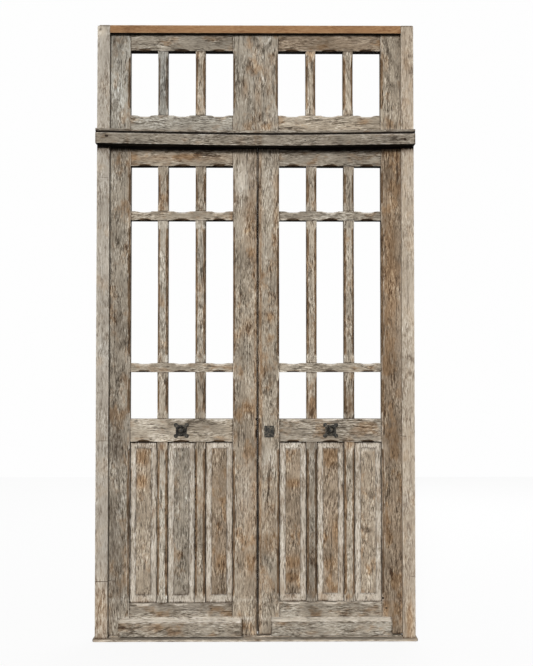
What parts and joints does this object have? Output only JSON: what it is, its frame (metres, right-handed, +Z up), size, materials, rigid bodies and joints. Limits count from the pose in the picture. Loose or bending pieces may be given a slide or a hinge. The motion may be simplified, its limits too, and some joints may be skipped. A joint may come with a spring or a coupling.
{
  "type": "double door in frame with transom light",
  "caption": "Old oak entrance double door in its frame: two panelled leaves with open lights, hinged inwards, under a fixed transom light.",
  "frame": {"origin": "middle of the sill's underside, in the plane of the jambs' outside face", "axes": "+Z up; +X to the right seen from outside; the outside face looks to -Y and the leaves open inwards, to +Y"},
  "size_m": [1.536, 0.1288, 2.936],
  "materials": {
    "weathered_oak": "bare oak, weathered grey-brown, rough open grain",
    "pale_jamb_oak": "bare oak, paler and tan, weathered",
    "new_oak": "newer orange-brown oak, sawn",
    "black_iron": "black iron, dull"
  },
  "bodies": {
    "frame": {"jamb_left": "pale_jamb_oak", "jamb_right": "pale_jamb_oak", "head": "new_oak", "sill": "pale_jamb_oak", "transom_rail": "pale_jamb_oak", "transom_moulding": "weathered_oak", "transom_stile_left": "weathered_oak", "transom_stile_centre": "weathered_oak", "transom_stile_right": "weathered_oak", "transom_top_rail_left": "weathered_oak", "transom_top_rail_right": "weathered_oak", "transom_bottom_rail_left": "weathered_oak", "transom_bottom_rail_right": "weathered_oak", "transom_mullion_1": "weathered_oak", "transom_mullion_2": "weathered_oak", "transom_mullion_3": "weathered_oak", "transom_mullion_4": "weathered_oak"},
    "left_leaf": {"left_hinge_stile": "weathered_oak", "left_meeting_stile": "weathered_oak", "left_top_rail": "weathered_oak", "left_upper_glazing_bar": "weathered_oak", "left_lower_glazing_bar": "weathered_oak", "left_lock_rail": "weathered_oak", "left_bottom_rail": "weathered_oak", "left_mullion_upper_1": "weathered_oak", "left_mullion_upper_2": "weathered_oak", "left_mullion_middle_1": "weathered_oak", "left_mullion_middle_2": "weathered_oak", "left_mullion_lower_1": "weathered_oak", "left_mullion_lower_2": "weathered_oak", "left_muntin_1": "weathered_oak", "left_muntin_2": "weathered_oak", "left_panel_1": "weathered_oak", "left_panel_2": "weathered_oak", "left_panel_3": "weathered_oak", "left_weatherboard": "weathered_oak", "left_boss": "black_iron"},
    "right_leaf": {"right_hinge_stile": "weathered_oak", "right_meeting_stile": "weathered_oak", "right_top_rail": "weathered_oak", "right_upper_glazing_bar": "weathered_oak", "right_lower_glazing_bar": "weathered_oak", "right_lock_rail": "weathered_oak", "right_bottom_rail": "weathered_oak", "right_mullion_upper_1": "weathered_oak", "right_mullion_upper_2": "weathered_oak", "right_mullion_middle_1": "weathered_oak", "right_mullion_middle_2": "weathered_oak", "right_mullion_lower_1": "weathered_oak", "right_mullion_lower_2": "weathered_oak", "right_muntin_1": "weathered_oak", "right_muntin_2": "weathered_oak", "right_panel_1": "weathered_oak", "right_panel_2": "weathered_oak", "right_panel_3": "weathered_oak", "right_weatherboard": "weathered_oak", "right_boss": "black_iron", "right_escutcheon": "black_iron"}
  },
  "joints": [
    {"name": "left_leaf_hinge", "type": "hinge", "parent": "frame", "child": "left_leaf", "pos_m": [-0.7125, 0.0765, 1.155], "axis": [0, 0, 1], "range_deg": [0, 100]},
    {"name": "right_leaf_hinge", "type": "hinge", "parent": "frame", "child": "right_leaf", "pos_m": [0.7125, 0.0765, 1.155], "axis": [0, 0, -1], "range_deg": [0, 100]}
  ]
}
